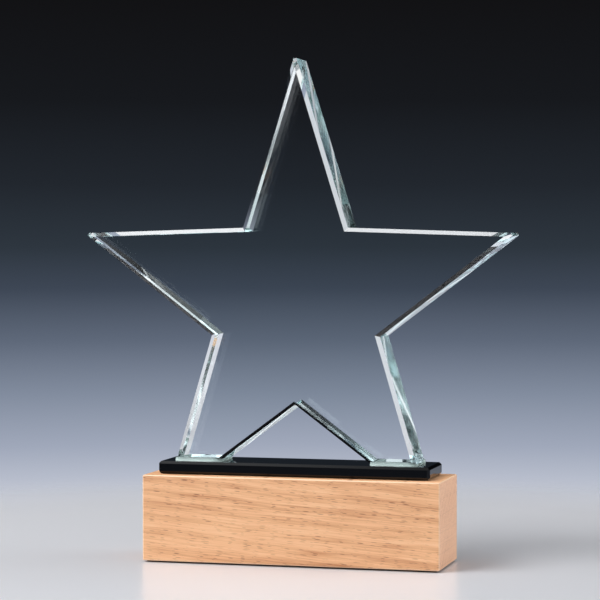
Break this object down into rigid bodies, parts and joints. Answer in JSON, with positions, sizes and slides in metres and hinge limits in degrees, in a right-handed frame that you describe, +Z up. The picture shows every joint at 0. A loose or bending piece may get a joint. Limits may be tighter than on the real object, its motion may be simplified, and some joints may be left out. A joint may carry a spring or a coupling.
{
  "type": "crystal star award",
  "caption": "Clear bevelled five-pointed star standing on a thin black plate and a rectangular wooden block, a free-standing award for a desk or shelf.",
  "frame": {"origin": "centre of the underside of the anti-slip pad", "axes": "+Z up, +X to the right of a person facing the award, +Y from its front to its back"},
  "size_m": [0.1722, 0.035, 0.1989],
  "materials": {
    "clear_crystal": "polished, faint green tint along the cut edges",
    "clear_adhesive": "clear cured film",
    "black_crystal": "polished black",
    "bonding_tape": "translucent tape",
    "beech": "fine sanded, clear matt oil",
    "anti_slip_pad": "fine textured foam sheet"
  },
  "bodies": {
    "root": {"crystal_star": "clear_crystal", "glue_film_left": "clear_adhesive", "glue_film_right": "clear_adhesive", "black_plate": "black_crystal", "bond_tape_left": "bonding_tape", "bond_tape_right": "bonding_tape", "beech_block": "beech", "base_pad": "anti_slip_pad"}
  },
  "joints": []
}
